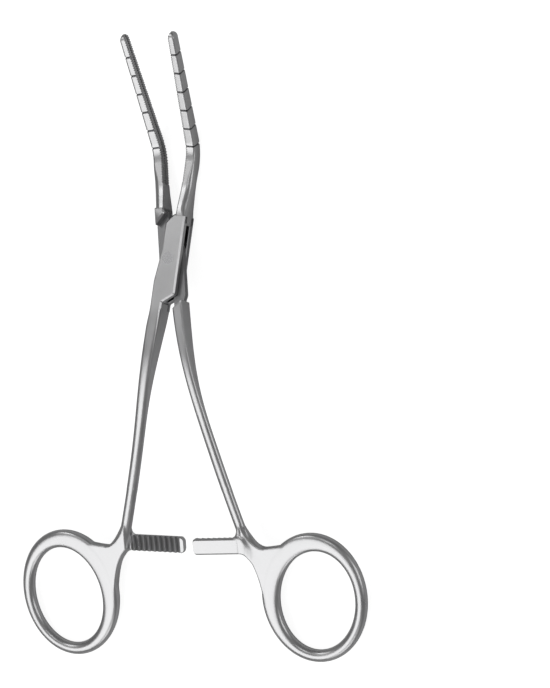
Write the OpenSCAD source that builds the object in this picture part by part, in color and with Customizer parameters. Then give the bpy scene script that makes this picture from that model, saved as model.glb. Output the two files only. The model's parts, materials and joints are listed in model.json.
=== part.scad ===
// Ring-handled vascular clamp with a box lock, a ratchet and long calibrated jaws.
// Each half is one forging: jaw, lock, shank, ratchet bar and finger ring.
// The two halves cross in the box lock and turn on one flush pin.
// Each half is drawn in its own plane, closed, with the pin at the origin along Z,
// the jaw towards +Y and its gripping face on the plane x = 0.

/* [Jaws] */
// Length of the toothed gripping face, measured along its middle
bite_len = 40.8; // [30:0.2:55]
// Length of the plain neck between the lock and the teeth
neck_len = 7.8; // [5:0.2:12]
// Toothed length between the neck and the start of the bend
heel_len = 5.6; // [4:0.2:10]
// Angle by which the jaws rise out of the plane of the lock
jaw_bend = 38; // [5:1:90]
// Radius of the bend, on the middle of the jaw
bend_r = 9; // [6:0.5:12]
// Width of the gripping face at the neck
heel_w = 3.8; // [3.4:0.1:5]
// Width of the gripping face at the tip
tip_w = 2.8; // [2.4:0.1:3.6]
// Thickness of one jaw at the neck, from face to back
heel_t = 2.8; // [2.2:0.1:3.4]
// Thickness of one jaw at the tip
tip_t = 1.7; // [1.3:0.1:2.4]
// Distance of each face from the middle plane at the neck when the tips meet
jaw_bow = 0.45; // [0.2:0.05:0.8]
// Distance of each face from the middle plane at the tips when closed
tip_gap = 0.05; // [0.03:0.01:0.2]

/* [Teeth] */
// Distance from one jaw tooth to the next
tooth_pitch = 0.62; // [0.5:0.02:1]
// Depth of the jaw teeth
tooth_depth = 0.24; // [0.1:0.02:0.4]
// Width of the groove between the two rows of teeth
groove_w = 0.62; // [0.4:0.02:0.9]
// Depth of that groove
groove_depth = 0.6; // [0.4:0.05:0.8]
// Distance from one measuring mark on the jaw's back to the next
mark_pitch = 5; // [3:0.5:6]
// Distance from the tip to the first measuring mark
mark_first = 5.6; // [4:0.2:8]
// Number of measuring marks on each jaw
mark_count = 6; // [3:1:6]
// Depth of the measuring marks
mark_depth = 0.22; // [0.1:0.02:0.35]

/* [Box lock] */
// Length of the lock above the pin
lock_top = 11; // [10:0.2:13]
// Length of the lock below the pin
lock_bottom = 11; // [10:0.2:13]
// Thickness of the lock from front to back
lock_t = 6; // [5:0.1:7]
// Height of the slot that the tongue passes through
slot_h = 2; // [1.4:0.1:2.4]
// Clearance between the tongue and each wall of the slot
slot_clear = 0.08; // [0.05:0.01:0.15]
// Reach of the box plates on the side of their own jaw
plate_jaw_side = 3; // [2.4:0.1:3.4]
// Reach of the box plates on the side of the other jaw
plate_far_side = 2; // [1.8:0.1:2.8]
// Reach of the box plates on the side of their own shank
plate_shank_side = 3.3; // [2.8:0.1:4]
// Size of the slanted shoulders where the halves meet
shoulder = 2.2; // [1.6:0.1:2.6]
// Width of the bevel along the edges of the lock
lock_bevel = 0.4; // [0.1:0.05:0.6]
// Gap between the upper shoulders of the two halves when closed
upper_gap = 0.3; // [0.2:0.05:0.6]
// Gap between their lower shoulders when closed
lower_gap = 1.5; // [0.3:0.1:2]
// Radius of the flush pin
pin_r = 1.5; // [1.1:0.1:1.8]
// Radial running clearance between the pin and the tongue
pin_clear = 0.05; // [0.02:0.01:0.1]
// Amount by which the pin is larger than its holes in the box plates
pin_press = 0.004; // [0.002:0.001:0.01]

/* [Shanks] */
// Distance from the pin to the middle of the ratchet, along the clamp
ratchet_y = 70; // [60:0.5:90]
// Distance of the shank from the middle plane at the lock
shank_x0 = 1.6; // [1.6:0.05:2.4]
// Distance of the shank from the middle plane at the ratchet
shank_x1 = 9.2; // [8.6:0.1:12]
// Power that shapes the outward bow of the shank
shank_bow = 1.6; // [1:0.05:2]
// Width of the shank beside the lock
shank_w0 = 3; // [2.6:0.1:3.1]
// Thickness of the shank beside the lock, front to back
shank_d0 = 5.8; // [4:0.1:5.8]
// Diameter of the round shank at the ratchet
shank_d1 = 2.8; // [2.4:0.1:3.4]
// Angle by which the shanks fall away behind the plane of the lock
shank_bend = 19; // [2:1:24]
// Distance from the pin to where the shanks start to fall away
fall_start = 17; // [13:0.5:25]
// Distance over which they take up the full angle
fall_len = 27; // [15:1:35]

/* [Ratchet] */
// Height of the ratchet bars, along the shank
bar_h = 4.1; // [3:0.1:5]
// Thickness of each ratchet bar
bar_t = 1.7; // [1.2:0.1:2]
// Reach of the front-toothed bar past the middle plane
bar_reach_box = 7.2; // [6:0.1:7.3]
// Reach of the rear-toothed bar past the middle plane
bar_reach_tongue = 4.4; // [3:0.1:7]
// Distance from one ratchet tooth to the next
ratchet_pitch = 1.6; // [1:0.1:2]
// Length of the smooth end of each bar, past its last tooth
bar_end = 0.9; // [0.8:0.1:3]
// Radius of the corners at the end of each bar
bar_corner = 0.8; // [0.3:0.1:1.5]
// Angle by which the bars rise towards the other half
bar_lean = 4.5; // [0:0.5:7]
// Radius of the fillets where a bar leaves its shank
bar_fillet = 2; // [1:0.1:3]
// Depth of the ratchet teeth
ratchet_depth = 0.6; // [0.3:0.05:0.8]
// Gap between the tips of the two rows of ratchet teeth
ratchet_gap = 0.14; // [0.1:0.02:0.3]

/* [Finger rings] */
// Distance of the ring's centre from the middle plane
ring_x = 25; // [22:0.2:32]
// Distance from the ratchet down to the ring's centre, along the shank
ring_drop = 16.4; // [14:0.2:20]
// Half width of the ring, on the middle of its wire
ring_a = 11.3; // [10:0.1:14]
// Half height of the ring, on the middle of its wire
ring_b = 14.1; // [12:0.1:16]
// Angle by which the ring's long axis leans in towards the bottom
ring_lean = 12; // [0:1:30]
// Diameter of the ring's wire
ring_wire = 3; // [2.4:0.1:3.6]
// Extra width of the ring where it grows out of the shank
ring_swell = 1.9; // [0.5:0.1:3]
// Distance from the shank's middle out to the hollow in the web's upper edge
web_hollow_x = 4.7; // [3:0.1:6]
// Distance of that hollow below the ratchet
web_hollow_y = 1.9; // [0.5:0.1:3]

/* [Pose] */
// Angle by which each half is turned open
open_half = 6.1; // [0:0.1:20]

/* [Hidden] */

cut = 0.5;
faint = 0.06;
straight_len = neck_len + heel_len;
arc_len = bend_r * jaw_bend * PI / 180;
jaw_len = neck_len + bite_len;
half_pitch = tooth_pitch / 2;
bite_steps = floor(bite_len / half_pitch) - 3;
tip_round = bite_len - bite_steps * half_pitch;
root_sink = 2.1;
section_side = 16;
shank_steps = 30;
shank_root = lock_bottom - root_sink;
ring_steps = 44;
ring_side = 12;
slot_top = lock_top - shoulder - 0.2;
slot_bottom = lock_bottom - shoulder - 0.2;
tongue_t = slot_h - 2 * slot_clear;
tongue_side = plate_jaw_side + 0.1;
fall_end = fall_start + fall_len;
merge_at = ring_point(8, ring_swell / 2);
merge_x = -merge_at[0];
merge_len = -merge_at[1] * cos(shank_bend);

function mix(a, b, t) = a + (b - a) * t;
function clamp01(t) = min(1, max(0, t));
function sum(v, i = 0) = i < len(v) - 1 ? v[i] + sum(v, i + 1) : v[i];
function middle(ring) = sum(ring) / len(ring);
function ease(t) = let(u = clamp01(t)) u * u * (3 - 2 * u);

// A solid through a list of rings of points, closed at each end by a fan about its middle
module skin(rings) {
    n = len(rings[0]);
    m = len(rings);
    side = [for (j = [0:m - 2], i = [0:n - 1])
        let(k = (i + 1) % n, a = j * n + i, b = j * n + k, c = a + n, d = b + n)
            each [[a, b, c], [b, d, c]]];
    first = [for (i = [0:n - 1]) [n * m, (i + 1) % n, i]];
    last = [for (i = [0:n - 1]) [n * m + 1, (m - 1) * n + i, (m - 1) * n + (i + 1) % n]];
    middles = [middle(rings[0]), middle(rings[m - 1])];
    polyhedron(points = concat([for (r = rings) each r], middles), faces = concat(first, last, side));
}

// A closed loop of rings of points
module loop_skin(rings) {
    n = len(rings[0]);
    m = len(rings);
    side = [for (j = [0:m - 1], i = [0:n - 1])
        let(k = (i + 1) % n, next = (j + 1) % m)
            each [[j * n + i, next * n + i, j * n + k],
                  [j * n + k, next * n + i, next * n + k]]];
    polyhedron(points = [for (r = rings) each r], faces = side);
}

// The jaw's middle line: height over the lock plane, place along it, and slope
function jaw_angle(s) = jaw_bend * clamp01((s - straight_len) / arc_len);
function jaw_y(s) = lock_top + min(s, straight_len) + bend_r * sin(jaw_angle(s))
    + max(0, s - straight_len - arc_len) * cos(jaw_bend);
function jaw_z(s) = bend_r * (1 - cos(jaw_angle(s)))
    + max(0, s - straight_len - arc_len) * sin(jaw_bend);

// Sizes of the jaw at distance s from the lock
function bite_at(s) = clamp01((s - neck_len) / bite_len);
function neck_at(s) = ease(s / neck_len);
function jaw_w(s) = mix(mix(lock_t - 0.2, heel_w, neck_at(s)), tip_w, bite_at(s));
function jaw_t(s) = mix(mix(plate_jaw_side - jaw_bow, heel_t, neck_at(s)), tip_t, bite_at(s));
function jaw_face(s) = mix(jaw_bow, tip_gap, bite_at(s));

// One ring of the jaw: two tooth crests with a groove between them and a rounded back
function jaw_section(w, t, dip, groove, inset) =
    let(g = groove_w / 2, h = w / 2 - inset, b = t - inset)
    [[dip, -h], [b * 0.7, -h], [b * 0.92, -h * 0.88], [b, -h * 0.6],
     [b, h * 0.6], [b * 0.92, h * 0.88], [b * 0.7, h], [dip, h],
     [dip, g], [dip + groove, g * 0.4], [dip + groove, -g * 0.4], [dip, -g]];

function place_jaw(section, s, shrink = 1) =
    let(a = jaw_angle(s), mid = jaw_t(s) / 2)
    [for (p = section)
        let(across = mid + (p[0] - mid) * shrink, along = p[1] * shrink)
            [jaw_face(s) + across, jaw_y(s) - along * sin(a), jaw_z(s) + along * cos(a)]];

// A mark is cut on the ring that lies nearest to its place
function is_mark(k) =
    let(from_tip = bite_len - k * half_pitch)
    len([for (i = [0:mark_count - 1])
        if (abs(from_tip - mark_first - i * mark_pitch) <= half_pitch / 2) i]) > 0;

module jaw() {
    neck = [for (s = [-root_sink, 0, neck_len * 0.3, neck_len * 0.6, neck_len * 0.9])
        place_jaw(jaw_section(jaw_w(max(0, s)), jaw_t(max(0, s)), 0, faint, 0), s)];
    bite = [for (k = [0:bite_steps])
        let(s = neck_len + k * half_pitch, dip = k % 2 == 0 ? tooth_depth : 0)
            place_jaw(jaw_section(jaw_w(s), jaw_t(s), dip, groove_depth, is_mark(k) ? mark_depth : 0), s)];
    tip = [for (q = [30, 52, 70])
        let(s = jaw_len - tip_round * (1 - sin(q)))
            place_jaw(jaw_section(jaw_w(s), jaw_t(s), tooth_depth, groove_depth / 2, 0), s, cos(q))];
    skin(concat(neck, bite, tip));
}

// Shank of the half whose jaw is on +X: it runs down on the -X side
function shank_part(y) = clamp01((y - shank_root) / (ratchet_y - shank_root));
function shank_x(y) =
    -mix(shank_x0, shank_x1, pow(shank_part(y), shank_bow))
    - (merge_x - shank_x1) * max(0, y - ratchet_y) / merge_len;
function fall_angle(y) = shank_bend * ease((y - fall_start) / fall_len);
function fall_z(y) =
    let(n = 12, top = min(y, fall_end), step = max(0, top - fall_start) / n)
    -(step > 0 ? step * sum([for (i = [0:n - 1]) tan(fall_angle(fall_start + step * (i + 0.5)))]) : 0)
    - max(0, y - fall_end) * tan(shank_bend);

// Squared beside the lock, round further down
function shank_section(w, d, square) =
    [for (i = [0:section_side - 1])
        let(a = (i + 0.5) * 360 / section_side, p = mix(1, 0.35, square), c = cos(a), s = sin(a))
            [w / 2 * sign(c) * pow(abs(c), p), d / 2 * sign(s) * pow(abs(s), p)]];

module shank() {
    skin([for (j = [0:shank_steps])
        let(y = mix(shank_root, ratchet_y + merge_len, j / shank_steps), t = clamp01((y - shank_root) / 32),
            a = fall_angle(y), w = mix(shank_w0, shank_d1, ease(t)), d = mix(shank_d0, shank_d1, ease(t)))
            [for (p = shank_section(w, d, 1 - ease(t * 0.9)))
                [shank_x(y) - p[0], -y + p[1] * sin(a), fall_z(y) + p[1] * cos(a)]]]);
}

// Frame of the lower end: the ratchet's middle, with the plane turned down by the shank's angle
module lower_end() {
    translate([0, -ratchet_y, fall_z(ratchet_y)]) rotate([shank_bend, 0, 0]) children();
}

// Points of the ring in the plane of the lower end: inner edge, outer edge
function ring_point(q, grow) =
    let(u = (ring_a + grow) * cos(q), v = (ring_b + grow) * sin(q))
    [-ring_x + u * cos(ring_lean) + v * sin(ring_lean) * -1,
     -ring_drop + v * cos(ring_lean) + u * sin(ring_lean)];
function ring_extra(q) = ring_swell * pow(clamp01((1 + cos(q - 40)) / 2), 2);

module ring() {
    loop_skin([for (j = [0:ring_steps - 1])
        let(q = -360 * j / ring_steps, inner = ring_point(q, -ring_wire / 2),
            outer = ring_point(q, ring_wire / 2 + ring_extra(q)))
            [for (i = [0:ring_side - 1])
                let(b = 360 * i / ring_side, mid = (inner + outer) / 2, arm = (outer - inner) / 2)
                    [mid[0] + arm[0] * cos(b), mid[1] + arm[1] * cos(b), ring_wire / 2 * sin(b)]]]);
}

// A quadratic curve from a to e that leaves and arrives towards c
function curve(a, c, e, steps) =
    [for (i = [0:steps]) let(t = i / steps) a * (1 - t) * (1 - t) + c * 2 * t * (1 - t) + e * t * t];

// The web that carries the ring on the shank, with hollow-curved edges
module web() {
    shank_edge = -shank_x1 - shank_d1 / 2;
    hollow = [-shank_x1 - web_hollow_x, -web_hollow_y];
    crown = ring_point(72, ring_wire * 0.4);
    foot = [-shank_x1 + shank_d1 * 0.4, -bar_h / 2];
    ring_side_at = ring_point(-4, (ring_wire + ring_swell) / 2);
    upper = curve([shank_edge + 1.3, 6], [shank_edge - 0.3, hollow[1] + 0.2], hollow, 8);
    crest = curve(hollow, [(hollow[0] + crown[0]) / 2, hollow[1]], crown, 5);
    inner = curve(ring_side_at, [ring_side_at[0] + 0.2, foot[1] - 3], foot, 8);
    middle = [for (q = [60:-10:10]) ring_point(q, 0)];
    translate([0, 0, -ring_wire * 0.4]) linear_extrude(ring_wire * 0.8)
        polygon(concat(upper, [for (i = [1:5]) crest[i]], middle, inner));
}

// Outline of a ratchet bar seen from the front, with fillets where it leaves the shank
module bar_outline(reach) {
    h = bar_h / 2;
    above = -shank_x1 + shank_d1 * 0.75;
    below = -shank_x1 - shank_d1 * 0.15;
    upper = curve([above, h + bar_fillet], [above, h], [above + bar_fillet, h], 6);
    lower = curve([below, -h - 1.7 * bar_fillet], [below + 0.3, -h], [below + 1.6 * bar_fillet, -h], 6);
    translate([-shank_x1 + bar_corner, -h + bar_corner]) offset(r = bar_corner, $fn = 24)
        square([reach + shank_x1 - 2 * bar_corner, bar_h - 2 * bar_corner]);
    polygon(concat([[-shank_x1, 0], [-shank_x1, h + bar_fillet]], upper, [[above + bar_fillet, 0]]));
    polygon(concat([[-shank_x1, 0], [below - 0.6, -h - 1.7 * bar_fillet]], lower, [[above + bar_fillet, 0]]));
}

// A ratchet bar with its teeth on the +Z side, rising towards the other half
module ratchet_bar(reach) {
    from = -shank_x1;
    teeth = floor((reach - bar_end + shank_x1 - shank_d1 * 0.45) / ratchet_pitch);
    teeth_from = reach - bar_end - teeth * ratchet_pitch;
    saw = [for (k = [0:teeth - 1])
        each [[teeth_from + k * ratchet_pitch, 0],
              [teeth_from + (k + 0.12) * ratchet_pitch, -ratchet_depth]]];
    rotate([0, 0, bar_lean]) translate([0, 0, -ratchet_gap / 2])
        intersection() {
            rotate([90, 0, 0]) linear_extrude(bar_h + 4 * bar_fillet, center = true)
                polygon(concat([[from - 2, -bar_t], [from - 2, 0]], saw,
                    [[reach - bar_end, 0], [reach, 0], [reach, -bar_t]]));
            translate([0, 0, -bar_t - cut]) linear_extrude(bar_t + 2 * cut) bar_outline(reach);
        }
}

// Everything below the lock, for the half whose jaw is on +X
module handle() {
    shank();
    lower_end() {
        ring();
        web();
    }
}

// Outline of the box plates, anticlockwise
plate_outline = [
    [plate_jaw_side, -lock_bottom + shoulder], [plate_jaw_side, lock_top], [0.05, lock_top],
    [-plate_far_side, lock_top - shoulder], [-plate_far_side, 2],
    [-plate_shank_side + 0.6, -1.6], [-plate_shank_side, -6],
    [-plate_shank_side - 0.1, -lock_bottom], [-0.1, -lock_bottom]
];

// The outline moved inwards by d, corner by corner
function inset(outline, d) =
    [for (i = [0:len(outline) - 1])
        let(n = len(outline), p = outline[i], q = outline[(i + n - 1) % n], r = outline[(i + 1) % n],
            a = (p - q) / norm(p - q), b = (r - p) / norm(r - p))
            p + d / (1 + a * b) * [-a[1] - b[1], a[0] + b[0]]];
function at_height(outline, z) = [for (p = outline) [p[0], p[1], z]];

// A plate of the outline from one height to another, bevelled along both faces
module bevelled(outline, low, high) {
    skin([
        at_height(inset(outline, lock_bevel), high), at_height(outline, high - lock_bevel),
        at_height(outline, low + lock_bevel), at_height(inset(outline, lock_bevel), low)
    ]);
}

// The slot runs through from side to side, and opens past the slanted shoulders
module slot() {
    reach = 12;
    translate([0, 0, -slot_h / 2]) linear_extrude(slot_h) {
        translate([-reach, -slot_bottom]) square([2 * reach, slot_bottom + slot_top]);
        translate([-reach, 0]) square([reach + 0.05, lock_top + 1]);
        translate([-0.2, -lock_bottom - 1]) square([reach, lock_bottom]);
    }
}

module box_lock() {
    difference() {
        bevelled(plate_outline, -lock_t / 2, lock_t / 2);
        slot();
        translate([0, 0, -lock_t / 2 - cut]) cylinder(r = pin_r - pin_press, h = lock_t + 2 * cut, $fn = 64);
    }
}

// Outline of the thin tongue, drawn for a jaw on -X
tongue_outline = [
    [-tongue_side, lock_top - shoulder - 0.4], [-tongue_side + 0.3, lock_top + 0.8],
    [-0.2, lock_top + 0.8], [-0.2, slot_top - 0.3], [1.6, 6], [tongue_side, 2.4],
    [tongue_side, -lock_bottom + 0.4 - lower_gap / 2], [tongue_side - 0.4, -lock_bottom - lower_gap - 1],
    [0.2, -lock_bottom - lower_gap - 1], [0.2, -slot_bottom + 0.3], [-1.6, -6], [-tongue_side, -2.4]
];

// Outlines of the full-thickness shoulders that end the tongue
upper_shoulder = [
    [-jaw_bow, lock_top + upper_gap], [-jaw_bow, lock_top + 2], [-plate_jaw_side, lock_top + 2],
    [-plate_jaw_side, lock_top - shoulder - 0.5 + upper_gap]
];
lower_shoulder = [
    [0.15, -lock_bottom - lower_gap], [0.15, -lock_bottom - lower_gap - 1.7],
    [shank_x0 + shank_w0 / 2, -lock_bottom - lower_gap - 1.7],
    [plate_jaw_side + 0.4, -lock_bottom + shoulder - 0.4 - lower_gap]
];

module tongue_lock() {
    difference() {
        union() {
            translate([0, 0, -tongue_t / 2]) linear_extrude(tongue_t) polygon(tongue_outline);
            bevelled(upper_shoulder, 0.1 - lock_t / 2, lock_t / 2 - 0.1);
            bevelled(lower_shoulder, -shank_d0 / 2, shank_d0 / 2);
        }
        translate([0, 0, -lock_t]) cylinder(r = pin_r + pin_clear, h = 2 * lock_t, $fn = 64);
    }
}

// Attitude in which the clamp lies: on the outside of its jaw bends and the far ends of its rings
heel_y = (lock_top + straight_len) * cos(open_half);
heel_r = bend_r + heel_w / 2;
ring_far = ring_drop + sqrt(pow(ring_b * cos(ring_lean), 2) + pow(ring_a * sin(ring_lean), 2));
far_y = ratchet_y + ring_far * cos(shank_bend);
far_z = fall_z(ratchet_y) - ring_far * sin(shank_bend);
far_open_y = -far_y * cos(open_half) + (ring_x - 4) * sin(open_half);
far_dist = norm([heel_y - far_open_y, bend_r - far_z]);
lie_angle = atan2(bend_r - far_z, heel_y - far_open_y) - asin((heel_r - ring_wire / 2) / far_dist);

// The origin is where the pin's axis meets the back of the lock
module lie() {
    rotate([-lie_angle, 0, 0]) translate([0, 0, lock_t / 2]) children();
}

// Half with the box: right jaw, slotted lock, left shank, ring and front-toothed bar
module box_half() {
    color("silver") lie() rotate([0, 0, -open_half]) {
        jaw();
        box_lock();
        handle();
        lower_end() ratchet_bar(bar_reach_box);
    }
}

// Half with the tongue: left jaw, tongue, right shank, ring and rear-toothed bar
module tongue_half() {
    color("lightgray") lie() rotate([0, 0, open_half]) {
        mirror([1, 0, 0]) {
            jaw_beyond_lock();
            shank_beyond_lock();
            lower_end() {
                ring();
                web();
                mirror([0, 0, 1]) ratchet_bar(bar_reach_tongue);
            }
        }
        tongue_lock();
    }
}

// Jaw and shank of the tongue half stop at its shoulders
module jaw_beyond_lock() {
    intersection() {
        jaw();
        translate([-20, lock_top + 0.4, -20]) cube([40, 100, 100]);
    }
}

module shank_beyond_lock() {
    intersection() {
        shank();
        translate([-40, -120 - lock_bottom - lower_gap - 0.4, -60]) cube([80, 120, 80]);
    }
}

module pivot_pin() {
    color("gainsboro") lie() translate([0, 0, -lock_t / 2]) cylinder(r = pin_r, h = lock_t, $fn = 64);
}

box_half();
tongue_half();
pivot_pin();
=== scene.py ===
# %% [markdown]
# # A ring-handled vascular clamp, finished in Blender
# The clamp is two steel forgings that cross in a box lock and turn on one flush pin.
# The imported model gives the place, the size and the joint of each piece. This lesson makes the
# surfaces that the eye sees: fine jaw teeth, bevelled lock plates, shanks that change from
# square to round, and rings that grow out of the shanks without a seam.

# %% Load the frame
import json
import math

import bpy
import numpy as np
from mathutils import Matrix, Vector


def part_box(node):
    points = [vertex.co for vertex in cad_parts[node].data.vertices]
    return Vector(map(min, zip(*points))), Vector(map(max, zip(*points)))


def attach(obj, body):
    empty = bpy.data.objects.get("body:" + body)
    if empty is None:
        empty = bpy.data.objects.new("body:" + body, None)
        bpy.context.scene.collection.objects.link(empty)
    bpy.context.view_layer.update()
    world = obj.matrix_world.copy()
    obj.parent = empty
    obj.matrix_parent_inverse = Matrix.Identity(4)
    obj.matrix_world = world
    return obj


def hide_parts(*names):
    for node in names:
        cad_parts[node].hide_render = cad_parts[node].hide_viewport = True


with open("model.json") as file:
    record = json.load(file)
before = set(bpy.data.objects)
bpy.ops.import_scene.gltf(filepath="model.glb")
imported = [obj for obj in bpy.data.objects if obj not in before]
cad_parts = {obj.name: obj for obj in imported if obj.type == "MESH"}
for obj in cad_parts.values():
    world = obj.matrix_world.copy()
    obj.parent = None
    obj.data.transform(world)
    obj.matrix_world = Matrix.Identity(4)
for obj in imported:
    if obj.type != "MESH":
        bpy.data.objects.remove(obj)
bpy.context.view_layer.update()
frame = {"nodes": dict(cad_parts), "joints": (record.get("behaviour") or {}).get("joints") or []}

# %% [markdown]
# ## One plane for both halves
# Each half is easiest to draw closed and flat: the pin at the origin along Z, the jaw towards
# +Y with its gripping face on x = 0, sizes in millimetres. The other half is its mirror image.
# `place` then opens the half, tilts the clamp as it lies on a table and changes to metres. The
# tilt is read from the hinge axis in the frame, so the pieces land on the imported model.

# %% Lie, opening and place
LOCK_T = 6.0
OPEN_HALF = math.radians(6.1)
hinge_axis = frame["joints"][0]["axis"]
LIE = math.atan2(hinge_axis[1], hinge_axis[2])


def place(points, side):
    """Mirrors for side -1, turns by the half opening about Z, lifts the lock's back to the
    origin, then turns by the lying angle about X. Millimetres in, metres out."""
    x, y, z = (np.asarray(points, float)[..., i] for i in range(3))
    x = x * side
    c, s = math.cos(OPEN_HALF), math.sin(OPEN_HALF) * side
    x, y = x * c + y * s, y * c - x * s
    z = z + LOCK_T / 2
    c, s = math.cos(LIE), math.sin(LIE)
    return np.stack([x, y * c + z * s, z * c - y * s], axis=-1) / 1000


print("lying angle in degrees:", round(math.degrees(LIE), 3))

# %% [markdown]
# ## Surfaces as grids
# Every new shape is a grid of points: one direction runs along the piece, the other round it.
# A shell keeps its points, its faces and an amount of painted shade for each point, which the
# steel reads later to paint shade into the bottoms of grooves and other recesses. `outward` works
# out the enclosed volume and turns the faces over when it is negative, which also mends what a
# mirror turns inside out.

# %% Grids to shells
# No painted shade: the point keeps the steel's own colour.
BRIGHT = 0.0


def grid_shell(grid, painted_shade=None, closed=False):
    """Faces between neighbouring rings of a grid (ring, point, xyz). The rings are closed. The
    ends get a fan about their middle, unless the rings themselves form a loop."""
    rows, cols = grid.shape[:2]
    last = rows if closed else rows - 1
    i, j = np.meshgrid(np.arange(last), np.arange(cols), indexing="ij")
    k, n = (j + 1) % cols, (i + 1) % rows
    quads = np.stack([i * cols + j, i * cols + k, n * cols + k, n * cols + j], -1).reshape(-1, 4)
    points = grid.reshape(-1, 3)
    painted_shade = np.full(len(points), BRIGHT) if painted_shade is None else painted_shade.reshape(-1)
    faces = [quads]
    if not closed:
        ring = np.arange(cols)
        turn = np.roll(ring, -1)
        middles = np.stack([grid[0].mean(0), grid[-1].mean(0)])
        faces.append(np.stack([np.full(cols, len(points)), turn, ring], -1))
        end = (rows - 1) * cols
        faces.append(np.stack([np.full(cols, len(points) + 1), ring + end, turn + end], -1))
        points = np.concatenate([points, middles])
        painted_shade = np.concatenate([painted_shade, [painted_shade[0], painted_shade[-1]]])
    return {"points": points, "faces": faces, "painted_shade": painted_shade}


def outward(shell):
    """Signed volume: a sixth of the sum of corner dot cross product over the triangles."""
    volume = 0.0
    for faces in shell["faces"]:
        p = shell["points"]
        for a in range(1, faces.shape[1] - 1):
            u, v, w = p[faces[:, 0]], p[faces[:, a]], p[faces[:, a + 1]]
            volume += np.einsum("ij,ij->i", u, np.cross(v, w)).sum() / 6
    if volume < 0:
        shell["faces"] = [faces[:, ::-1] for faces in shell["faces"]]
    return shell


def build(name, shells, side, sharp=32):
    """One mesh object from several closed shells, placed in the frame, with smooth shading
    that breaks where faces meet at more than the given angle."""
    mesh = bpy.data.meshes.new(name)
    shells = [outward(dict(s, points=place(s["points"], side))) for s in shells]
    points = np.concatenate([s["points"] for s in shells])
    starts, corners, offset, at = [], [], 0, 0
    for s in shells:
        for faces in s["faces"]:
            size = faces.shape[1]
            starts.append(at + np.arange(len(faces)) * size)
            corners.append((faces + offset).reshape(-1))
            at += faces.size
        offset += len(s["points"])
    starts, corners = np.concatenate(starts), np.concatenate(corners)
    mesh.vertices.add(len(points))
    mesh.loops.add(len(corners))
    mesh.polygons.add(len(starts))
    mesh.vertices.foreach_set("co", points.astype(np.float32).reshape(-1))
    mesh.loops.foreach_set("vertex_index", corners.astype(np.int32))
    mesh.polygons.foreach_set("loop_start", starts.astype(np.int32))
    mesh.update(calc_edges=True)
    mesh.validate()
    mesh.polygons.foreach_set("use_smooth", np.ones(len(mesh.polygons), bool))
    mesh.set_sharp_from_angle(angle=math.radians(sharp))
    # Each point's amount of painted shade, which the steel mixes into its colour.
    painted_shade = mesh.attributes.new("painted_shade", "FLOAT", "POINT")
    painted_shade.data.foreach_set("value", np.concatenate([s["painted_shade"] for s in shells]).astype(np.float32))
    piece = bpy.data.objects.new(name, mesh)
    bpy.context.scene.collection.objects.link(piece)
    print(name, len(mesh.polygons), "faces")
    return piece


# %% [markdown]
# ## The jaws
# A jaw is a long bar, flat on its gripping face and rounded on its back. It runs straight out
# of the lock, rises through a short bend and ends in a round tip. The face carries two rows of
# fine cross teeth with a groove between them, and the back is cut by measuring marks. The
# section is one closed curve, half a squared oval for the back and a stepped line for the face,
# and it is carried along the bent line. Eight rings to each tooth keep the crests crisp.

# %% Sizes of a jaw
LOCK_TOP, LOCK_BOTTOM = 11.0, 11.0
NECK, HEEL, BITE = 7.8, 5.6, 40.8
JAW_BEND, BEND_R = math.radians(38), 9.0
HEEL_W, TIP_W, HEEL_T, TIP_T = 3.8, 2.8, 2.8, 1.7
JAW_BOW, TIP_GAP = 0.45, 0.05
BACK_ROUND, HEEL_ROUND, FACE_ROUND = 0.55, 1.5, 0.28
TOOTH_PITCH, TOOTH_DEPTH = 0.62, 0.24
GROOVE_W, GROOVE_DEPTH = 0.62, 0.6
MARK_PITCH, MARK_FIRST, MARK_COUNT, MARK_DEPTH, MARK_W = 5.0, 5.6, 6, 0.17, 0.44
TIP_ROUND = 1.5
PLATE_JAW_SIDE = 3.0
STRAIGHT, JAW_LEN = NECK + HEEL, NECK + BITE
ARC = BEND_R * JAW_BEND


def ease(t):
    """Smooth step from 0 to 1: 3 t squared less 2 t cubed."""
    t = np.clip(t, 0, 1)
    return t * t * (3 - 2 * t)


def jaw_line(s):
    """Place and slope at distance s: straight, then an arc, then straight at the full slope."""
    angle = JAW_BEND * np.clip((s - STRAIGHT) / ARC, 0, 1)
    past = np.maximum(0, s - STRAIGHT - ARC)
    y = LOCK_TOP + np.minimum(s, STRAIGHT) + BEND_R * np.sin(angle) + past * math.cos(JAW_BEND)
    z = BEND_R * (1 - np.cos(angle)) + past * math.sin(JAW_BEND)
    return y, z, angle


# %% Section of a jaw
def arc_corner(across, along, radius, start, steps=7):
    """Points of a quarter circle about a centre, from the start angle in degrees onwards. The
    centre and the radius may be columns with a row for each ring."""
    q = np.radians(np.linspace(start, start + 90, steps))[None]
    return np.stack([across + radius * np.cos(q), along + radius * np.sin(q)], -1)


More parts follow.
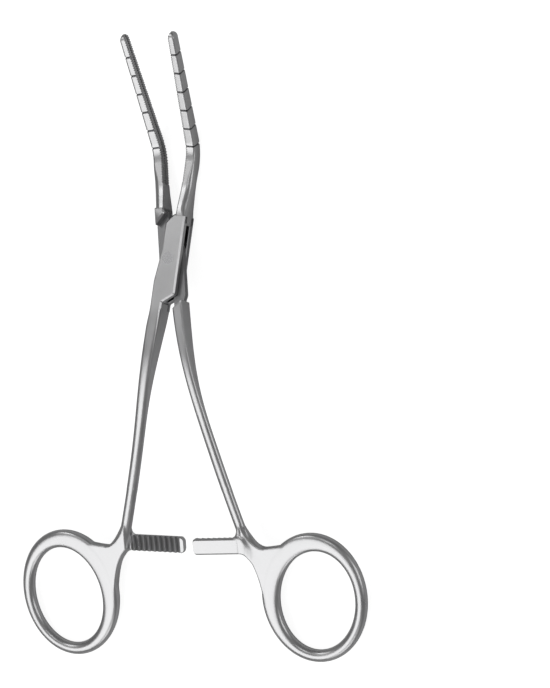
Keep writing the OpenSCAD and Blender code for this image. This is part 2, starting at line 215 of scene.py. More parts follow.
def jaw_section(t, w, turn, dip, depth, cut):
    """Rings of (across, along) points: a back with rounded corners of radius turn, a flank, and
    then a face of two toothed rows with a groove between them. The lower half mirrors the upper
    one. A mark draws the back and the flanks inwards."""
    t, w, turn, dip, depth, cut = (v[:, None] for v in (t, w / 2, turn, dip, depth, cut))
    h, back = w - cut, t - cut
    ones = np.ones_like(t)
    above = arc_corner(back - turn, h - turn, turn, 0)
    edge = np.linspace(0.06, 1, 5)[None]
    flank = np.stack([back - turn + (FACE_ROUND + dip - back + turn) * edge, h + 0 * edge], -1)
    brow = arc_corner(FACE_ROUND + dip, h - FACE_ROUND, FACE_ROUND * ones, 90, 5)[:, 1:]
    half = GROOVE_W / 2
    row = np.linspace(0.75, 0, 4)[None]
    crest = np.stack([dip + 0 * row, half + (h - FACE_ROUND - half) * row], -1)
    floor = np.array([[0.72, 0.3]]) * half
    groove = np.stack([dip + depth * np.array([[0.8, 1.0]]), floor + 0 * dip], -1)
    upper = np.concatenate([above, flank, brow, crest, groove], 1)
    lower = upper[:, ::-1] * np.array([1, -1])
    return np.concatenate([upper, lower], 1), above.shape[1] + 5, 4 + 4, 2


# %% Make a jaw
def jaw_shell(start=-2.0):
    """Rings of the jaw's section along its bent line, eight to a tooth, with a round tip."""
    teeth = np.arange(NECK, JAW_LEN - TIP_ROUND, TOOTH_PITCH / 8)
    tip = JAW_LEN - TIP_ROUND * (1 - np.sin(np.linspace(0, math.radians(88), 18)))
    s = np.concatenate([np.linspace(start, NECK - 0.05, 30), teeth, tip])
    y, z, angle = jaw_line(s)
    bite = np.clip((s - NECK) / BITE, 0, 1)
    neck = ease(s / NECK)
    w = (LOCK_T - 0.2) + (HEEL_W - LOCK_T + 0.2) * neck + (TIP_W - HEEL_W) * bite
    root_t = PLATE_JAW_SIDE - JAW_BOW
    t = root_t + (HEEL_T - root_t) * neck + (TIP_T - HEEL_T) * bite
    toothed = ease((s - NECK) / 0.3)
    saw = np.abs(2 * ((s - NECK) / TOOTH_PITCH % 1) - 1)
    marks = JAW_LEN - MARK_FIRST - MARK_PITCH * np.arange(MARK_COUNT)
    cut = np.clip(1.3 - np.abs(s[:, None] - marks) / (MARK_W / 2), 0, 1).max(1)
    turn = BACK_ROUND + (HEEL_ROUND - BACK_ROUND) * (1 - ease((s - NECK) / HEEL)) * ease((s + 2) / 4)
    section, plain, face, floor = jaw_section(
        t, w, turn, TOOTH_DEPTH * saw * toothed, GROOVE_DEPTH * toothed, MARK_DEPTH * cut)
    to_tip = np.clip((s - JAW_LEN + TIP_ROUND) / TIP_ROUND, 0, 1)
    round_off = np.sqrt(np.clip(1 - to_tip ** 2, 0.0005, 1))
    middle = np.stack([t * 0.5, 0 * t], -1)[:, None]
    section = middle + (section - middle) * round_off[:, None, None]
    x = (JAW_BOW + (TIP_GAP - JAW_BOW) * bite)[:, None] + section[..., 0]
    n = section[..., 1]
    up = n * np.cos(angle)[:, None]
    grid = np.stack([x, y[:, None] - n * np.sin(angle)[:, None], z[:, None] + up], -1)
    # Painted shade on the jaw: darker in the measuring marks, in the tooth valleys and on the groove floor.
    shade = np.concatenate([np.repeat(cut[:, None], plain, 1),
                            np.repeat((0.22 * saw ** 2 * toothed)[:, None], face, 1),
                            np.repeat(0.6 * toothed[:, None], floor, 1)], 1)
    return grid_shell(grid, np.concatenate([shade, shade[:, ::-1]], 1))


print("teeth on each jaw:", int(BITE / TOOTH_PITCH))

# %% [markdown]
# ## The box lock
# The slotted half is two plates joined at both ends, and the other half passes between them as
# a thin tongue. A plate is an outline carried up through four levels, with the first and the
# last drawn in to make the bevels that catch the light. The corners of the outline are rounded
# first. The slot stays open between the plates, so its seams show on the sides as they do on
# the real lock.

# %% Outlines and slabs
SLOT_H, SLOT_CLEAR = 2.0, 0.08
SHOULDER, UPPER_GAP, LOWER_GAP = 2.2, 0.3, 1.5
PLATE_FAR_SIDE, PLATE_SHANK_SIDE = 2.0, 3.1
TONGUE_SIDE = PLATE_JAW_SIDE + 0.1
BEVEL = 0.4
SLOT_TOP, SLOT_BOTTOM = LOCK_TOP - SHOULDER - 0.2, LOCK_BOTTOM - SHOULDER - 0.2


def rounded(outline, radius=0.3, steps=5):
    """Each corner gives way to a quadratic curve between points a radius away along its sides."""
    p = np.array(outline, float)
    before, after = np.roll(p, 1, 0) - p, np.roll(p, -1, 0) - p
    lengths = [np.linalg.norm(v, axis=1, keepdims=True) for v in (before, after)]
    reach = np.minimum(radius, 0.45 * np.minimum(*lengths))
    a, b = p + before / lengths[0] * reach, p + after / lengths[1] * reach
    t = np.linspace(0, 1, steps)[None, :, None]
    curve = a[:, None] * (1 - t) ** 2 + 2 * p[:, None] * t * (1 - t) + b[:, None] * t ** 2
    return curve.reshape(-1, 2)


def inset(outline, d):
    """Moves each point along the mean of its two edge normals, so that every edge moves by d."""
    step = np.roll(outline, -1, 0) - outline
    step = step / np.linalg.norm(step, axis=1, keepdims=True)
    a, b = np.roll(step, 1, 0), step
    normal = np.stack([-(a + b)[:, 1], (a + b)[:, 0]], -1)
    return outline + normal * (d / (1 + (a * b).sum(1)))[:, None]


def slab(outline, low, high, bevel_low=BEVEL, bevel_high=BEVEL, radius=0.3):
    """An outline carried from low to high, with a bevel along either face where one is asked.
    It is drawn in before its corners are rounded, so that no corner crosses itself."""
    outline = np.array(outline, float)
    flat = rounded(outline, radius)
    drawn_in = [rounded(inset(outline, b), max(radius - b / 2, 0.01)) for b in (bevel_low, bevel_high)]
    levels = [(drawn_in[0], low)] if bevel_low else []
    levels += [(flat, low + bevel_low), (flat, high - bevel_high)]
    levels += [(drawn_in[1], high)] if bevel_high else []
    grid = np.stack([np.column_stack([p, np.full(len(p), z)]) for p, z in levels])
    rows, cols = grid.shape[:2]
    i, j = np.meshgrid(np.arange(rows - 1), np.arange(cols), indexing="ij")
    k = (j + 1) % cols
    quads = np.stack([i * cols + j, i * cols + k, (i + 1) * cols + k, (i + 1) * cols + j], -1)
    ends = [np.arange(cols)[None, ::-1], (np.arange(cols) + (rows - 1) * cols)[None]]
    points = grid.reshape(-1, 3)
    return {"points": points, "faces": [quads.reshape(-1, 4)] + ends, "painted_shade": np.zeros(len(points))}


# %% The slotted box and the tongue
PLATE = [
    (PLATE_JAW_SIDE, -LOCK_BOTTOM + SHOULDER), (PLATE_JAW_SIDE, LOCK_TOP), (0.05, LOCK_TOP),
    (-PLATE_FAR_SIDE, LOCK_TOP - SHOULDER), (-PLATE_FAR_SIDE, 2),
    (-PLATE_SHANK_SIDE + 0.6, -1.6), (-PLATE_SHANK_SIDE, -6),
    (-PLATE_SHANK_SIDE, -LOCK_BOTTOM - 2), (-0.15, -LOCK_BOTTOM - 2), (-0.1, -LOCK_BOTTOM),
]


def box_shells():
    """Front plate, back plate and the two solid ends between them."""
    half, edge, seam = SLOT_H / 2, LOCK_T / 2, 0.25
    side = PLATE_JAW_SIDE - 0.01
    top = [(side, SLOT_TOP), (side, LOCK_TOP), (0.1, LOCK_TOP), (0.1, SLOT_TOP)]
    far = -PLATE_SHANK_SIDE
    bottom = [(-0.12, -LOCK_BOTTOM), (-0.12, -SLOT_BOTTOM), (far, -SLOT_BOTTOM), (far - 0.05, -LOCK_BOTTOM)]
    front, back = slab(PLATE, half, edge, bevel_low=seam), slab(PLATE, -edge, -half, bevel_high=seam)
    # Painted shade on the bevels and faces of the plates towards the slot, where the slot's shade falls.
    front["painted_shade"] = np.where(front["points"][:, 2] < half + seam / 2, 0.7, 0.0)
    back["painted_shade"] = np.where(back["points"][:, 2] > -half - seam * 1.1, 0.75, 0.0)
    return [
        front, back,
        slab(top, -half - seam, half + seam, 0, 0, 0.05),
        slab(bottom[::-1], -half - seam, half + seam, 0, 0, 0.05),
    ]


def tongue_shells():
    """The thin tongue and the full-thickness shoulders at its two ends, drawn for a jaw on +X."""
    half, side, low = SLOT_H / 2 - SLOT_CLEAR, TONGUE_SIDE, -LOCK_BOTTOM - LOWER_GAP
    tongue = [
        (side, LOCK_TOP - SHOULDER - 0.4), (side - 0.3, LOCK_TOP + 0.8), (0.2, LOCK_TOP + 0.8),
        (0.2, SLOT_TOP - 0.3), (-1.6, 6), (-side, 2.4), (-side, -9.4), (-side + 0.5, -10.6),
        (-side + 0.6, low - 1), (-0.2, low - 1), (-0.2, -SLOT_BOTTOM + 0.3), (1.6, -6), (side, -2.4),
    ]
    upper = [
        (JAW_BOW, LOCK_TOP + UPPER_GAP), (PLATE_JAW_SIDE, LOCK_TOP - SHOULDER - 0.5 + UPPER_GAP),
        (PLATE_JAW_SIDE, LOCK_TOP + 2), (JAW_BOW, LOCK_TOP + 2),
    ]
    thin = slab(tongue[::-1], -half, half, 0.12, 0.12, 0.2)
    # Painted shade over the whole tongue, which lies recessed in the slot.
    thin["painted_shade"] = np.full(len(thin["points"]), 0.55)
    return [
        thin,
        slab(upper, 0.02 - LOCK_T / 2, LOCK_T / 2 - 0.02),
    ]


# %% [markdown]
# ## Shank, ring and ratchet
# Below the lock each shank is nearly square, and it turns round as it runs down and falls away
# behind the plane of the lock. It swells into the ring through a thin web. Forged steel has no
# seam there, so the shank, the web, the ring and the root of the ratchet bar are drawn as
# separate solids, then merged by a voxel remesh and smoothed, which leaves a soft fillet at
# each meeting. The teeth of the ratchet are cut later than the forging, so the bar is a crisp
# grid of its own.

# %% Sizes of a handle
SHANK_X0, SHANK_X1, SHANK_BOW = 1.6, 9.2, 1.6
SHANK_W0, SHANK_D0, SHANK_D1 = 3.0, 6.02, 2.8
SHANK_THINNED, SHANK_CHAMFER, PLATE_FOOT = 0.5, 0.42, 13.0
SQUARE_TO, ROUND_FROM = 12.5, 52.0
SHANK_BEND, FALL_START, FALL_LEN = math.radians(19), 17.0, 27.0
RATCHET_Y, BAR_H, BAR_T, BAR_END, BAR_CORNER = 70.0, 4.1, 1.7, 0.9, 0.8
BAR_LEAN, BAR_FILLET = math.radians(4.5), 2.0
RATCHET_PITCH, RATCHET_DEPTH, RATCHET_GAP = 1.44, 0.6, 0.14
RING_X, RING_DROP, RING_A, RING_B = 25.0, 16.4, 11.3, 14.1
RING_LEAN, RING_WIRE, RING_SWELL = math.radians(12), 3.0, 1.9
HOLLOW_X, HOLLOW_Y, WEB_T, SMOOTH_LOSS = 4.7, 1.9, 1.38, 0.06
SHANK_ROOT = LOCK_BOTTOM - 2.1

FALL_Y = np.linspace(0, 130, 2601)
FALL_ANGLE = SHANK_BEND * ease((FALL_Y - FALL_START) / FALL_LEN)
FALL_Z = -np.concatenate([[0], np.cumsum(np.tan((FALL_ANGLE[1:] + FALL_ANGLE[:-1]) / 2) * np.diff(FALL_Y))])


def lower_end(points):
    """From the flat plane of the ring to the clamp: turned down by the shank's angle and moved
    to the middle of the ratchet."""
    x, y, z = points[..., 0], points[..., 1], points[..., 2]
    c, s = math.cos(SHANK_BEND), math.sin(SHANK_BEND)
    drop = np.interp(RATCHET_Y, FALL_Y, FALL_Z)
    return np.stack([x, y * c - z * s - RATCHET_Y, y * s + z * c + drop], -1)


def ring_point(q, grow):
    """A point at angle q of an oval that leans inwards, larger than the wire's middle by grow."""
    u, v = (RING_A + grow) * np.cos(q), (RING_B + grow) * np.sin(q)
    c, s = math.cos(RING_LEAN), math.sin(RING_LEAN)
    return np.stack([-RING_X + u * c - v * s, -RING_DROP + v * c + u * s], -1)


# %% Shank and ring solids
MERGE = ring_point(np.radians(8.0), RING_SWELL / 2)
MERGE_LEN = -MERGE[1] * math.cos(SHANK_BEND)


def shank_x(y):
    """A power of the share of the way to the ratchet, then a straight run into the ring."""
    way = np.clip((y - SHANK_ROOT) / (RATCHET_Y - SHANK_ROOT), 0, 1)
    bow = SHANK_X0 + (SHANK_X1 - SHANK_X0) * way ** SHANK_BOW
    return -bow + (MERGE[0] + SHANK_X1) * np.maximum(0, y - RATCHET_Y) / MERGE_LEN


def shank_rings(y, slant=0.0, wider=0.0, foot=PLATE_FOOT):
    """Rounded rectangles along the shank that turn into ovals: the power of sine and cosine
    grows from a quarter to 1. Where a corner comes nearer to the square than the chamfer, it is
    drawn back onto the chamfer's plane. A slant shears the top rings over the first 7 mm, and
    wider is added to the outer side below the foot."""
    y = np.asarray(y, float)[:, None]
    t = ease((y - SQUARE_TO) / 30)
    wide = wider * ease((y - foot) / 5) * (1 - ease((y - SQUARE_TO - 5) / 35))
    w = SHANK_W0 + (SHANK_D1 - SHANK_W0) * t + wide
    d = SHANK_D0 + (SHANK_D1 - SHANK_D0) * t - SHANK_THINNED * ease((y - foot) / 7) * (1 - t)
    power = 0.24 + 0.76 * ease((y - SQUARE_TO) / 36)
    q = np.linspace(0, 2 * math.pi, 64, endpoint=False)[None]
    c, s = np.cos(q), np.sin(q)
    across = w / 2 * np.sign(c) * np.abs(c) ** power
    up = d / 2 * np.sign(s) * np.abs(s) ** power
    over = np.maximum(0, SHANK_CHAMFER - (w / 2 - np.abs(across)) - (d / 2 - np.abs(up))) / 2
    across, up = across - over * np.sign(c), up - over * np.sign(s)
    angle = np.interp(y, FALL_Y, FALL_ANGLE)
    z = np.interp(y, FALL_Y, FALL_Z)
    shear = slant * across * np.clip(1 - (y - y[0]) / 7, 0, 1)
    return np.stack([shank_x(y) - wide / 2 + across, -y + shear + up * np.sin(angle), z + up * np.cos(angle)], -1)


def shank_top(top, slant=0.0, wider=0.0, foot=PLATE_FOOT):
    """The crisp upper shank, with a chamfer round its top end. Its last ring draws in a little,
    so that it sinks into the merged lower end."""
    y = np.concatenate([[top], np.linspace(top, ROUND_FROM + 6, 110)])
    rings = shank_rings(y, slant, wider, foot)
    for ring, share in ((0, 0.26), (-1, 0.08)):
        centre = rings[ring].mean(0)
        rings[ring] = centre + (rings[ring] - centre) * (1 - share)
    rings[1:, :, 1] -= np.where(np.arange(len(y) - 1) == 0, 0.4, 0)[:, None]
    return grid_shell(rings)


def shank_shell():
    """The lower shank, down to where it runs into the ring."""
    return grid_shell(shank_rings(np.linspace(ROUND_FROM, RATCHET_Y + MERGE_LEN, 60)))


def ring_shell():
    """Ovals spanned between the inner and the outer edge of the ring. The outer edge swells
    towards the shank by a power of a cosine."""
    q = np.linspace(0, 2 * math.pi, 220, endpoint=False)
    swell = RING_SWELL * ((1 + np.cos(q - math.radians(40))) / 2) ** 2
    half = RING_WIRE / 2 + SMOOTH_LOSS
    inner, outer = ring_point(q, -half), ring_point(q, half + swell)
    b = np.linspace(0, 2 * math.pi, 36, endpoint=False)[None, :, None]
    power = (1 - 0.5 * swell / RING_SWELL)[:, None, None]
    across, rise = (np.sign(v) * np.abs(v) ** power for v in (np.cos(b), np.sin(b)))
    flat = (inner + outer)[:, None] / 2 + (outer - inner)[:, None] / 2 * across
    up = (half - 0.12 * (1 - power)) * rise
    return grid_shell(lower_end(np.concatenate([flat, up], -1)), closed=True)


def bend_curve(a, c, e, steps=14):
    """A quadratic curve from a to e that leaves and arrives towards c."""
    t = np.linspace(0, 1, steps)[:, None]
    return np.array(a) * (1 - t) ** 2 + 2 * np.array(c) * t * (1 - t) + np.array(e) * t ** 2


def web_shells():
    """The plate between the shank and the ring, with hollow-curved edges. It is a stack of five
    slabs, and the thicker ones leave the round shank lower down, so that no corner stands out."""
    hollow = (-SHANK_X1 - HOLLOW_X, -HOLLOW_Y)
    crown = ring_point(np.radians(72), RING_WIRE * 0.4)
    side = ring_point(np.radians(-4), (RING_WIRE + RING_SWELL) / 2)
    edge = -SHANK_X1 - SHANK_D1 / 2
    foot = (-SHANK_X1 + SHANK_D1 * 0.4, -BAR_H / 2)
    crest = bend_curve(hollow, ((hollow[0] + crown[0]) / 2, hollow[1]), crown)[1:]
    middle = ring_point(np.radians(np.arange(60, 5, -10)), 0)
    inner = bend_curve(side, (side[0] + 0.2, foot[1] - 3), foot)
    shells = []
    for share in np.linspace(0, 1, 5):
        upper = bend_curve((edge + 2.6 - 0.7 * share, 9 - 4.5 * share),
                           (edge - 0.9 + 0.4 * share, hollow[1] + 0.6), hollow)
        half = WEB_T * (0.35 + 0.65 * share)
        shell = slab(np.concatenate([upper, crest, middle, inner]), -half, half, 0.2, 0.2, 0.01)
        shells.append(dict(shell, points=lower_end(shell["points"])))
    return shells


# %% Ratchet bar
def leaned(points):
    """Turned in the plane of the ring by the lean of the bars, then placed at the lower end."""
    x, y, z = points[..., 0], points[..., 1], points[..., 2]
    c, s = math.cos(BAR_LEAN), math.sin(BAR_LEAN)
    return lower_end(np.stack([x * c - y * s, y * c + x * s, z], -1))


def bar_shell(reach, up):
    """Rings across a bar that runs along +X. Its upper face falls and rises as a saw, and the
    corners of its end are round. up is 1 for teeth on the front, -1 for the rear."""
    fine = reach - BAR_CORNER * (1 - np.sin(np.linspace(0, 1.5, 10)))
    start = -SHANK_X1 + SHANK_D1 * 0.4
    x = np.concatenate([np.arange(start, reach - BAR_CORNER, 0.08), fine])
    sunk = 0.12 * (1 - ease((x - start) / 0.9))[:, None]
    count = int((reach - BAR_END + SHANK_X1 - SHANK_D1 * 0.35) // RATCHET_PITCH)
    first = reach - BAR_END - count * RATCHET_PITCH
    part = (x - first) / RATCHET_PITCH
    inside = (part > 0) & (part < count)
    frac = part % 1
    saw = np.where(inside, np.where(frac < 0.14, frac / 0.14, (1 - frac) / 0.86), 0)
    to_end = np.clip((x - reach + BAR_CORNER) / BAR_CORNER, 0, 1)
    h = (BAR_H / 2 - BAR_CORNER * (1 - np.sqrt(1 - to_end ** 2)))[:, None] - sunk
    high = (-RATCHET_GAP / 2 - RATCHET_DEPTH * saw)[:, None] - sunk
    low = np.full_like(high, -RATCHET_GAP / 2 - BAR_T) + sunk
    b = 0.42
    y = np.concatenate([-h, -h + b, h - b, h, h, h - b * 0.6, -h + b * 0.6, -h], 1)
    z = np.concatenate([low + b, low, low, low + b, high - b * 0.6, high, high, high - b * 0.6], 1)
    grid = np.stack([np.broadcast_to(x[:, None], y.shape), y, z * up], -1)
    painted_shade = np.zeros(grid.shape[:2])
    # Painted shade on the toothed face, darker towards the bottom of each tooth.
    painted_shade[:, 4:] = (0.45 * saw)[:, None]
    return grid_shell(leaned(grid), painted_shade)


def bar_root_shells(up):
    """The filleted root of a bar, as a stack of slabs. The lowest spreads out over the web and
    up the side of the shank, the middle one only over the web, and the highest is no wider than
    the bar. Smoothing makes one slope of them, so that the bar leaves the forging without a step."""
    h, f = BAR_H / 2 - 0.04, BAR_FILLET
    high, low = -SHANK_X1 + SHANK_D1 * 0.75, -SHANK_X1 - SHANK_D1 * 0.66
    under = bend_curve((low, -h - 1.7 * f), (low + 0.8, -h), (low + 2.1 * f, -h))
    outlines = np.stack([np.concatenate(parts) for parts in (
        [bend_curve((high + f, h), (high, h), (high, h + f)),
         [(-9.6, 4.6), (-10.9, 1.2), (-12.6, -0.6), (-13.2, -4.0), (-12.6, -7.0)], under],
        [bend_curve((high + 0.8 * f, h), (high, h), (high - 0.2, h + 0.35 * f)),
         [(-9.2, 2.4), (-10.9, 0.6), (-12.6, -0.9), (-13.2, -4.0), (-12.6, -7.0)], under],
        [bend_curve((high + 0.5 * f, h), (high, h), (high - 0.3, h + 0.3)),
         [(-8.7, 1.9), (-9.1, 1.0), (-9.3, -0.6), (-9.1, -1.6), (-8.9, -1.95)],
         bend_curve((-8.6, -h - 0.1), (-8.2, -h), (-7.2, -h))],
    )])
    near, far = RATCHET_GAP / 2 + RATCHET_DEPTH + 0.04, RATCHET_GAP / 2 + BAR_T - 0.04
    levels = [near + 0.25, WEB_T - 0.18, far]
    shells = []
    for top in np.concatenate([np.linspace(levels[0], levels[1], 4), np.linspace(levels[1], far, 6)[1:]]):
        step = np.interp(top, levels, [0, 1, 2])
        lower = min(int(step), 1)
        outline = outlines[lower] + (outlines[lower + 1] - outlines[lower]) * (step - lower)
        shell = slab(outline, -top, -near, 0.06, 0.06, 0.01)
        shell["points"][:, 2] *= up
        shells.append(dict(shell, points=leaned(shell["points"])))
    return shells


# %% Merge a handle
def as_object(shell):
    """A plain object of a shell in millimetres, before it is placed."""
    mesh = bpy.data.meshes.new("part")
    faces = [tuple(f) for faces in outward(shell)["faces"] for f in faces.tolist()]
    mesh.from_pydata(shell["points"].tolist(), [], faces)
    part = bpy.data.objects.new("part", mesh)
    bpy.context.scene.collection.objects.link(part)
    return part


def merged(shells, voxel=0.17, rounds=24):
    """Joins closed shells into one skin: a voxel remesh, then a few rounds of smoothing."""
    parts = [as_object(s) for s in shells]
    with bpy.context.temp_override(active_object=parts[0], selected_editable_objects=parts):
        bpy.ops.object.join()
    whole = parts[0]
    remesh = whole.modifiers.new("merge", "REMESH")
    remesh.mode, remesh.voxel_size = "VOXEL", voxel
    smooth = whole.modifiers.new("fillet", "SMOOTH")
    smooth.factor, smooth.iterations = 0.5, rounds
    mesh = bpy.data.meshes.new_from_object(whole.evaluated_get(bpy.context.evaluated_depsgraph_get()))
    points = np.empty(len(mesh.vertices) * 3, np.float32)
    mesh.vertices.foreach_get("co", points)
    corners = np.empty(len(mesh.loops), np.int32)
    mesh.loops.foreach_get("vertex_index", corners)
    bpy.data.objects.remove(whole)
    points = points.reshape(-1, 3).astype(float)
    print("merged handle:", len(points), "points")
    return {"points": points, "faces": [corners.reshape(-1, 4)], "painted_shade": np.zeros(len(points))}


BOX_REACH, TONGUE_REACH = 7.2, 4.4


def handle(up):
    """The forged part of a handle, with the filleted root of its ratchet bar."""
    return merged([shank_shell(), ring_shell(), *web_shells(), *bar_root_shells(up)])


# %% Assemble the two halves
SHOULDER_SLANT = -0.73
box_parts = [jaw_shell(), *box_shells(), shank_top(LOCK_BOTTOM - 0.1, 0.0, 0.3), handle(1), bar_shell(BOX_REACH, 1)]
tongue_parts = [jaw_shell(1.0), *tongue_shells(), shank_top(LOCK_BOTTOM + 0.4, SHOULDER_SLANT, -0.4, LOCK_BOTTOM - 4), handle(-1),
                bar_shell(TONGUE_REACH, -1)]
box_forging = build("box_half_forging", box_parts, 1)
tongue_forging = build("tongue_half_forging", tongue_parts, -1)

# %% [markdown]
# ## The pin
# The pin is pressed in and ground flush with the plates, so only a faint ring shows on the real
# lock. It is a revolved profile with a fine edge, and it stands proud by a hundredth of a
# millimetre so that its ends don't fight with the plates.

# %% Make the pin
PIN_R, PIN_PROUD = 1.5, 0.012


def pin_shell():
    """A profile of radius and height turned round the pin's axis."""
    top = LOCK_T / 2 + PIN_PROUD
    radius = np.array([0.02, PIN_R - 0.04, PIN_R, PIN_R, PIN_R - 0.04, 0.02])
    height = np.array([-top, -top, -top + 0.05, top - 0.05, top, top])
    q = np.linspace(0, 2 * math.pi, 96, endpoint=False)[None]
    x, y = radius[:, None] * np.cos(q), radius[:, None] * np.sin(q)
    return grid_shell(np.stack([x, y, np.broadcast_to(height[:, None], x.shape)], -1))


flush_pin = build("flush_pin", [pin_shell()], 1)

# %% [markdown]
# ## Steel
# Instrument steel is ground along its length and then given a satin finish, so it has a fine
# grain and a slow cloudy change of gloss. Shade is also painted into the colour where the points
# carry painted shade: in grooves, tooth valleys, the slot and the tongue. One node group gives
# the grain, the cloud and the painted shade. The metal itself stays in each material.

# %% Node group for the finish and the painted shade
def link(tree, a, out, b, into):
    tree.links.new(a.outputs[out], b.inputs[into])


def noise(tree, coords, scale, detail):
    """A noise texture at a scale and a detail, read at given coordinates."""
    node = tree.nodes.new("ShaderNodeTexNoise")
    node.inputs["Scale"].default_value = scale
    node.inputs["Detail"].default_value = detail
    tree.links.new(coords, node.inputs["Vector"])
    return node.outputs["Fac"]


def spread(tree, value, low, high):
    """The range 0.3 to 0.7 of a value spread over low to high."""
    node = tree.nodes.new("ShaderNodeMapRange")
    for name, number in {"From Min": 0.3, "From Max": 0.7, "To Min": low, "To Max": high}.items():
        node.inputs[name].default_value = number
    tree.links.new(value, node.inputs["Value"])
    return node.outputs["Result"]


def finish_and_painted_shade():
    """Grain stretched along the clamp, a slow cloud, and painted shade by the amount kept on the points."""
    tree = bpy.data.node_groups.new("ground finish and painted shade", "ShaderNodeTree")
    new = tree.interface.new_socket
    for name, value in {"Steel": None, "Painted Shade": None, "Rough": 0.3, "Grain": 0.2}.items():
        kind = "NodeSocketColor" if value is None else "NodeSocketFloat"
        socket = new(name, in_out="INPUT", socket_type=kind)
        if value is not None:
            socket.default_value = value
    new("Color", in_out="OUTPUT", socket_type="NodeSocketColor")
    new("Roughness", in_out="OUTPUT", socket_type="NodeSocketFloat")
    new("Normal", in_out="OUTPUT", socket_type="NodeSocketVector")
    given, put = tree.nodes.new("NodeGroupInput"), tree.nodes.new("NodeGroupOutput")
    where = tree.nodes.new("ShaderNodeTexCoord")
    along = tree.nodes.new("ShaderNodeMapping")
    along.inputs["Scale"].default_value = (1.0, 0.06, 1.0)
    link(tree, where, "Object", along, "Vector")
    grain = noise(tree, along.outputs["Vector"], 3600, 2)
    cloud = noise(tree, where.outputs["Object"], 160, 2)
    speck = noise(tree, where.outputs["Object"], 2600, 2)
    painted_shade_amount = tree.nodes.new("ShaderNodeAttribute")
    painted_shade_amount.attribute_name = "painted_shade"

    tone = tree.nodes.new("ShaderNodeMix")
    tone.data_type, tone.blend_type = "RGBA", "MULTIPLY"
    tone.inputs["Factor"].default_value = 1.0
    shade = tree.nodes.new("ShaderNodeMath")
    shade.operation = "MULTIPLY"
    tree.links.new(spread(tree, cloud, 0.95, 1.04), shade.inputs[0])
    tree.links.new(spread(tree, speck, 0.985, 1.01), shade.inputs[1])
    link(tree, given, "Steel", tone, "A")
    link(tree, shade, "Value", tone, "B")
    # Painted shade: mixes the steel's colour towards the shade colour by the amount kept on the points.
    painted_shade_mix = tree.nodes.new("ShaderNodeMix")
    painted_shade_mix.data_type = "RGBA"
    link(tree, painted_shade_amount, "Fac", painted_shade_mix, "Factor")
    tree.links.new(tone.outputs["Result"], painted_shade_mix.inputs["A"])
    link(tree, given, "Painted Shade", painted_shade_mix, "B")
    tree.links.new(painted_shade_mix.outputs["Result"], put.inputs["Color"])

    rough = tree.nodes.new("ShaderNodeMath")
    rough.operation = "MULTIPLY_ADD"
    tree.links.new(spread(tree, cloud, -0.03, 0.03), rough.inputs[0])
    rough.inputs[1].default_value = 1.0
    link(tree, given, "Rough", rough, 2)
    link(tree, rough, "Value", put, "Roughness")
    bump = tree.nodes.new("ShaderNodeBump")
    bump.inputs["Distance"].default_value = 0.00002
    link(tree, given, "Grain", bump, "Strength")
    tree.links.new(grain, bump.inputs["Height"])
    link(tree, bump, "Normal", put, "Normal")
    return tree


FINISH_AND_PAINTED_SHADE = finish_and_painted_shade()


# %% Steels of the clamp
def steel(name, colour, groove, rough, grain):
    """Bare metal that takes its colour, gloss and grain from the finish group; groove is its painted shade colour."""
    material = bpy.data.materials.new(name)
    material.use_nodes = True
    tree = material.node_tree
    shader = tree.nodes["Principled BSDF"]
    shader.inputs["Metallic"].default_value = 1.0
    finish = tree.nodes.new("ShaderNodeGroup")
    finish.node_tree = FINISH_AND_PAINTED_SHADE
    finish.inputs["Steel"].default_value = (*colour, 1)
    finish.inputs["Painted Shade"].default_value = (*groove, 1)
    finish.inputs["Rough"].default_value = rough
    finish.inputs["Grain"].default_value = grain
    link(tree, finish, "Color", shader, "Base Color")
    link(tree, finish, "Roughness", shader, "Roughness")
    link(tree, finish, "Normal", shader, "Normal")
    return material


# The second colour of each steel is the colour of its painted shade.
satin = steel("satin steel", (0.56, 0.56, 0.565), (0.07, 0.07, 0.075), 0.30, 0.16)
ground = steel("ground pin steel", (0.53, 0.53, 0.54), (0.1, 0.1, 0.1), 0.26, 0.12)
box_forging.data.materials.append(satin)
tongue_forging.data.materials.append(satin)
flush_pin.data.materials.append(ground)

# %% [markdown]
# ## Ride and replace
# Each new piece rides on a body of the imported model, so it moves with the hinge, and it stands
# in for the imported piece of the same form.

# %% Bodies, nodes and slots
for piece, body, node, slot in (
    (box_forging, "box_body", "box_half", "satin_steel"),
    (tongue_forging, "tongue_body", "tongue_half", "satin_steel"),
    (flush_pin, "box_body", "pivot_pin", "pin_steel"),
):
    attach(piece, body)
    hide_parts(node)

# %% [markdown]
# ## Floor, light and camera
# The clamp lies on a pale floor under soft studio light. Large lamps overhead give the broad
# bright bands along the steel, and the dim world beyond them gives the dark edges. The camera
# stands where the photographer stood: to the clamp's right and a little below square, far
# enough off for a long lens, and rolled by two degrees.

# %% Floor
lowest = min(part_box(node)[0].z for node in frame["nodes"])
half_floor = 3.0
floor_mesh = bpy.data.meshes.new("floor")
corners = [(-half_floor, -half_floor, lowest), (half_floor, -half_floor, lowest),
           (half_floor, half_floor, lowest), (-half_floor, half_floor, lowest)]
floor_mesh.from_pydata(corners, [], [(0, 1, 2, 3)])
floor = bpy.data.objects.new("floor", floor_mesh)
bpy.context.scene.collection.objects.link(floor)
pale = bpy.data.materials.new("pale floor")
pale.use_nodes = True
pale.node_tree.nodes["Principled BSDF"].inputs["Base Color"].default_value = (0.58, 0.58, 0.58, 1)
pale.node_tree.nodes["Principled BSDF"].inputs["Roughness"].default_value = 0.9


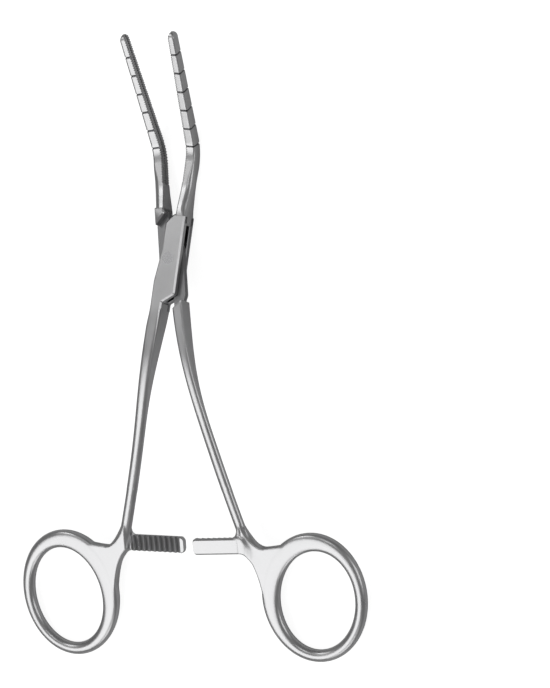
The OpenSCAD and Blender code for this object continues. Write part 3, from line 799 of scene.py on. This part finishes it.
def white_ground(tree, surface):
    """Adds white light to what the camera sees of a surface, with a share of it for the rays
    that come by way of the metal, so the picture has a white ground with a faint shadow, the
    steel shows that ground, and the clamp gets no more light."""
    path, white = tree.nodes.new("ShaderNodeLightPath"), tree.nodes.new("ShaderNodeEmission")
    total, out = tree.nodes.new("ShaderNodeAddShader"), tree.nodes[surface[1]]
    share = tree.nodes.new("ShaderNodeMath")
    share.operation = "MULTIPLY"
    share.inputs[1].default_value = 0.05
    strength = tree.nodes.new("ShaderNodeMath")
    strength.operation = "MULTIPLY_ADD"
    strength.inputs[1].default_value = surface[2]
    link(tree, path, "Is Glossy Ray", share, 0)
    link(tree, path, "Is Camera Ray", strength, 0)
    link(tree, share, "Value", strength, 2)
    link(tree, strength, "Value", white, "Strength")
    tree.links.new(tree.nodes[surface[0]].outputs[0], total.inputs[0])
    tree.links.new(white.outputs[0], total.inputs[1])
    link(tree, total, "Shader", out, "Surface")


white_ground(pale.node_tree, ("Principled BSDF", "Material Output", 0.85))
under, clear = pale.node_tree.nodes.new("ShaderNodeNewGeometry"), pale.node_tree.nodes.new("ShaderNodeBsdfTransparent")
one_sided, ending = pale.node_tree.nodes.new("ShaderNodeMixShader"), pale.node_tree.nodes["Material Output"]
link(pale.node_tree, under, "Backfacing", one_sided, "Fac")
pale.node_tree.links.new(ending.inputs["Surface"].links[0].from_socket, one_sided.inputs[1])
pale.node_tree.links.new(clear.outputs[0], one_sided.inputs[2])
link(pale.node_tree, one_sided, "Shader", ending, "Surface")
floor_mesh.materials.append(pale)

# %% World and lamps
world = bpy.data.worlds.new("studio")
bpy.context.scene.world = world
world.use_nodes = True
world.node_tree.nodes["Background"].inputs["Color"].default_value = (1, 1, 1, 1)
world.node_tree.nodes["Background"].inputs["Strength"].default_value = 0.15
white_ground(world.node_tree, ("Background", "World Output", 0.88))


def lamp(name, place_at, towards, size, power):
    """A square area lamp at a place, turned to face a point."""
    data = bpy.data.lights.new(name, "AREA")
    data.shape, data.size, data.energy = "SQUARE", size, power
    lamp_object = bpy.data.objects.new(name, data)
    lamp_object.location = place_at
    aim = Vector(towards) - Vector(place_at)
    lamp_object.rotation_euler = aim.to_track_quat("-Z", "Y").to_euler()
    bpy.context.scene.collection.objects.link(lamp_object)


lamp("key", (-0.38, -0.52, 0.80), (0, -0.02, 0), 0.85, 3.4)
lamp("plate fill", (-0.40, 0.34, 0.88), (0, 0, 0), 0.5, 0.3)
lamp("neck streak", (-0.44, 0.60, 0.76), (0, 0, 0), 0.32, 0.75)
lamp("overhead streak", (0.12, 0.30, 0.98), (0, 0, 0), 0.28, 0.34)
lamp("right rim", (0.95, 0.03, 0.47), (0, 0, 0), 0.5, 1.0)
lamp("low front", (0.18, -0.92, 0.52), (0, 0, 0), 0.42, 0.8)

# %% Camera
CAMERA_YAW, CAMERA_PITCH, CAMERA_ROLL = (math.radians(a) for a in (24.7, 6.75, 2.27))
CAMERA_FAR, FOCAL_PX = 732.0, 2964.0
AIM, AIM_PX = np.array([0, -22.0, -3.0]), (174.3, 349.4)
FRAME_PX = (550, 688)


def lying(v, shift=0.0):
    """A direction, or with a shift a point, from the plane of the lock to the lying clamp."""
    x, y, z = v[0], v[1], v[2] + shift
    c, s = math.cos(LIE), math.sin(LIE)
    return np.array([x, y * c + z * s, z * c - y * s])


towards_camera = np.array([math.sin(CAMERA_YAW) * math.cos(CAMERA_PITCH), -math.sin(CAMERA_PITCH),
                           math.cos(CAMERA_YAW) * math.cos(CAMERA_PITCH)])
level = np.array([math.cos(CAMERA_YAW), 0, -math.sin(CAMERA_YAW)])
upright = np.cross(towards_camera, level)
right = level * math.cos(CAMERA_ROLL) + upright * math.sin(CAMERA_ROLL)
up = upright * math.cos(CAMERA_ROLL) - level * math.sin(CAMERA_ROLL)
camera_data = bpy.data.cameras.new("camera")
camera = bpy.data.objects.new("camera", camera_data)
turn = np.stack([lying(right), lying(up), lying(towards_camera)], 1)
spot = lying(AIM + towards_camera * CAMERA_FAR, LOCK_T / 2) / 1000
pose = np.eye(4)
pose[:3, :3], pose[:3, 3] = turn, spot
camera.matrix_world = Matrix(pose.tolist())
camera_data.sensor_width = 36
camera_data.lens = FOCAL_PX / max(FRAME_PX) * camera_data.sensor_width
camera_data.shift_x = (FRAME_PX[0] / 2 - AIM_PX[0]) / max(FRAME_PX)
camera_data.shift_y = (AIM_PX[1] - FRAME_PX[1] / 2) / max(FRAME_PX)
bpy.context.scene.collection.objects.link(camera)
bpy.context.scene.camera = camera
bpy.context.scene.view_settings.view_transform = "Standard"
